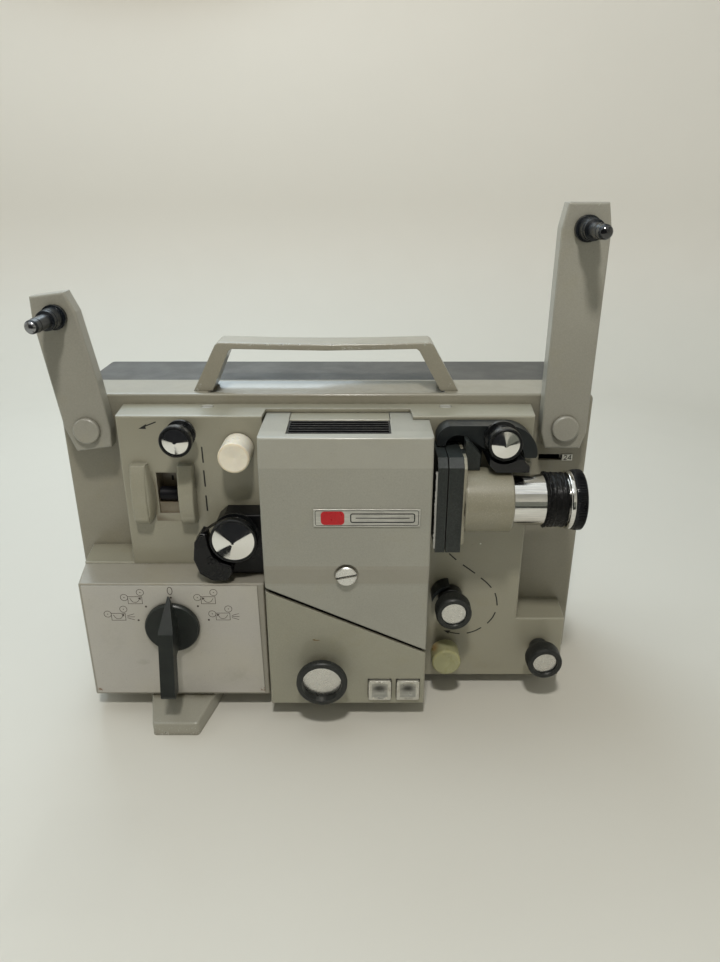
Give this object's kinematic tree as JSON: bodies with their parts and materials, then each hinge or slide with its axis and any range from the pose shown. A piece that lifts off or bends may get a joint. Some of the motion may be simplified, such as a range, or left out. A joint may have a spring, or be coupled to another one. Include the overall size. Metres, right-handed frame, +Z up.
{
  "type": "film projector",
  "caption": "Portable sound film projector for narrow cine film: threading deck with rollers and sound head, lamp house, zoom lens, selector panel, carrying handle and folding reel arms.",
  "frame": {"origin": "on the table, under the middle of the whole part's bounding box", "axes": "+X the way the lens points, +Z up, -Y towards the person who threads the film"},
  "size_m": [0.3502, 0.1766, 0.3295],
  "materials": {
    "casting_paint": "satin",
    "deck_paint": "satin",
    "cover_plastic": "matte",
    "box_paint": "satin",
    "panel_aluminium": "satin",
    "badge_metal": "satin",
    "dark_metal": "satin",
    "steel": "brushed",
    "mirror_cap": "polished",
    "charcoal_plastic": "satin",
    "white_plastic": "gloss",
    "shoe_plastic": "satin",
    "button_metal": "satin",
    "chrome": "polished",
    "rubber": "matte",
    "glass": "polished",
    "reflector": "polished",
    "iron": "rough",
    "board": "matte"
  },
  "bodies": {
    "housing": {"rear_casting": "casting_paint", "carrying_handle": "casting_paint", "lamp_house_cover": "casting_paint", "lamp_house_base": "casting_paint", "support_foot": "casting_paint", "film_deck": "deck_paint", "rear_cover": "cover_plastic", "control_box": "box_paint", "control_panel": "panel_aluminium", "badge_plate": "badge_metal", "vent_grille": "dark_metal", "gate_plate": "dark_metal", "sound_head_block": "dark_metal", "case_screws": "steel", "arm_pivot_bolts": "steel", "film_inlet_guide": "charcoal_plastic", "lower_sprocket_guard": "charcoal_plastic", "guide_shoe": "shoe_plastic", "rubber_feet": "rubber", "lamp_bulb": "glass", "lamp_reflector": "reflector", "transformer": "iron", "drive_motor": "iron", "amplifier_board": "board", "mains_inlet": "board", "socket_plate": "board", "loudspeaker": "board"},
    "left_arm": {"left_arm": "casting_paint"},
    "right_arm": {"right_arm": "casting_paint"},
    "take_up_spindle": {"take_up_spindle": "charcoal_plastic"},
    "supply_spindle": {"supply_spindle": "charcoal_plastic"},
    "snubber_roller": {"snubber_roller": "charcoal_plastic", "snubber_cap": "mirror_cap"},
    "upper_white_roller": {"upper_white_roller": "white_plastic"},
    "lower_white_roller": {"lower_white_roller": "white_plastic"},
    "sound_drum": {"sound_drum": "charcoal_plastic", "sound_drum_cap": "mirror_cap"},
    "upper_sprocket": {"upper_sprocket": "charcoal_plastic", "upper_sprocket_cap": "mirror_cap"},
    "lower_sprocket": {"lower_sprocket": "charcoal_plastic", "lower_sprocket_disc": "panel_aluminium"},
    "motor_shaft": {"motor_shaft_and_fan": "steel"},
    "main_shaft": {"main_shaft_and_shutter": "steel"},
    "elevation_knob": {"elevation_knob": "charcoal_plastic", "elevation_knob_disc": "panel_aluminium"},
    "elevating_foot": {"elevating_foot": "steel"},
    "volume_knob": {"volume_knob": "charcoal_plastic", "volume_knob_disc": "panel_aluminium"},
    "selector_knob": {"selector_knob": "charcoal_plastic"},
    "coin_screw": {"coin_screw": "steel"},
    "left_push_button": {"left_push_button": "button_metal"},
    "right_push_button": {"right_push_button": "button_metal"},
    "pressure_arm": {"pressure_arm": "dark_metal"},
    "framing_wheel": {"framing_wheel": "charcoal_plastic"},
    "speed_slider": {"speed_slider": "steel"},
    "lens_carrier": {"lens_carrier": "casting_paint", "gate_pressure_plate": "steel"},
    "lens_barrel": {"lens_barrel": "chrome", "lens_grip_band": "rubber", "lens_glass": "glass"},
    "zoom_ring": {"zoom_ring": "charcoal_plastic"}
  },
  "joints": [
    {"name": "left_arm_fold", "type": "hinge", "parent": "housing", "child": "left_arm", "pos_m": [-0.1512, -0.0213, 0.194], "axis": [0, -1, 0], "range_deg": [0, 172.7]},
    {"name": "right_arm_fold", "type": "hinge", "parent": "housing", "child": "right_arm", "pos_m": [0.1523, -0.0213, 0.1955], "axis": [0, 1, 0], "range_deg": [0, 180]},
    {"name": "take_up_spin", "type": "hinge", "parent": "left_arm", "child": "take_up_spindle", "pos_m": [-0.16035, -0.0263, 0.26542], "axis": [0, -1, 0], "continuous": true},
    {"name": "supply_spin", "type": "hinge", "parent": "right_arm", "child": "supply_spindle", "pos_m": [0.1523, -0.0263, 0.3155], "axis": [0, -1, 0], "continuous": true},
    {"name": "snubber_spin", "type": "hinge", "parent": "housing", "child": "snubber_roller", "pos_m": [-0.0878, -0.0463, 0.197], "axis": [0, -1, 0], "continuous": true},
    {"name": "upper_white_spin", "type": "hinge", "parent": "housing", "child": "upper_white_roller", "pos_m": [-0.0546, -0.0423, 0.1849], "axis": [0, -1, 0], "continuous": true},
    {"name": "lower_white_spin", "type": "hinge", "parent": "housing", "child": "lower_white_roller", "pos_m": [0.0816, -0.0423, 0.035], "axis": [0, -1, 0], "continuous": true},
    {"name": "sound_drum_spin", "type": "hinge", "parent": "housing", "child": "sound_drum", "pos_m": [-0.057, -0.0463, 0.1323], "axis": [0, -1, 0], "continuous": true},
    {"name": "main_shaft_spin", "type": "hinge", "parent": "housing", "child": "main_shaft", "pos_m": [0.0223, -0.0163, 0.15], "axis": [1, 0, 0], "continuous": true},
    {"name": "motor_spin", "type": "hinge", "parent": "housing", "child": "motor_shaft", "pos_m": [-0.0677, 0.0097, 0.125], "axis": [1, 0, 0], "continuous": true},
    {"name": "upper_sprocket_spin", "type": "hinge", "parent": "housing", "child": "upper_sprocket", "pos_m": [0.1082, -0.0513, 0.1968], "axis": [0, -1, 0], "continuous": true},
    {"name": "lower_sprocket_spin", "type": "hinge", "parent": "housing", "child": "lower_sprocket", "pos_m": [0.0841, -0.0463, 0.0772], "axis": [0, -1, 0], "continuous": true},
    {"name": "elevation_turn", "type": "hinge", "parent": "housing", "child": "elevation_knob", "pos_m": [0.1487, -0.0443, 0.0358], "axis": [0, -1, 0], "range_deg": [0, 286.5]},
    {"name": "elevating_foot_slide", "type": "slide", "parent": "housing", "child": "elevating_foot", "axis": [0, 0, -1], "range_m": [0, 0.03]},
    {"name": "volume_turn", "type": "hinge", "parent": "housing", "child": "volume_knob", "pos_m": [-0.0023, -0.0763, 0.0409], "axis": [0, 1, 0], "range_deg": [0, 300]},
    {"name": "selector_turn", "type": "hinge", "parent": "housing", "child": "selector_knob", "pos_m": [-0.101, -0.0663, 0.0694], "axis": [0, 1, 0], "range_deg": [-72, 72]},
    {"name": "coin_screw_turn", "type": "hinge", "parent": "housing", "child": "coin_screw", "pos_m": [0.0138, -0.0663, 0.1137], "axis": [0, -1, 0], "range_deg": [0, 90]},
    {"name": "left_button_press", "type": "slide", "parent": "housing", "child": "left_push_button", "axis": [0, 1, 0], "range_m": [0, 0.003], "stiffness_N_per_m": 300},
    {"name": "right_button_press", "type": "slide", "parent": "housing", "child": "right_push_button", "axis": [0, 1, 0], "range_m": [0, 0.003], "stiffness_N_per_m": 300},
    {"name": "pressure_arm_swing", "type": "hinge", "parent": "housing", "child": "pressure_arm", "pos_m": [-0.0632, -0.0543, 0.1085], "axis": [0, -1, 0], "range_deg": [0, 12], "stiffness_Nm_per_rad": 0.3},
    {"name": "framing_turn", "type": "hinge", "parent": "housing", "child": "framing_wheel", "pos_m": [-0.1022, -0.0283, 0.1513], "axis": [1, 0, 0], "continuous": true},
    {"name": "speed_slide", "type": "slide", "parent": "housing", "child": "speed_slider", "axis": [-1, 0, 0], "range_m": [0, 0.015]},
    {"name": "lens_carrier_slide", "type": "slide", "parent": "housing", "child": "lens_carrier", "axis": [1, 0, 0], "range_m": [0, 0.0045]},
    {"name": "focus_slide", "type": "slide", "parent": "lens_carrier", "child": "lens_barrel", "axis": [1, 0, 0], "range_m": [-0.003, 0.012]},
    {"name": "zoom_turn", "type": "hinge", "parent": "lens_barrel", "child": "zoom_ring", "pos_m": [0.1533, -0.0543, 0.1582], "axis": [1, 0, 0], "range_deg": [-60, 60]}
  ],
  "couplings": [
    {"joint": "motor_spin", "follows": "main_shaft_spin", "ratio": -4.9833},
    {"joint": "upper_sprocket_spin", "follows": "main_shaft_spin", "ratio": 0.0833},
    {"joint": "lower_sprocket_spin", "follows": "main_shaft_spin", "ratio": 0.0833},
    {"joint": "elevating_foot_slide", "follows": "elevation_turn", "m_per_rad": 0.005}
  ]
}
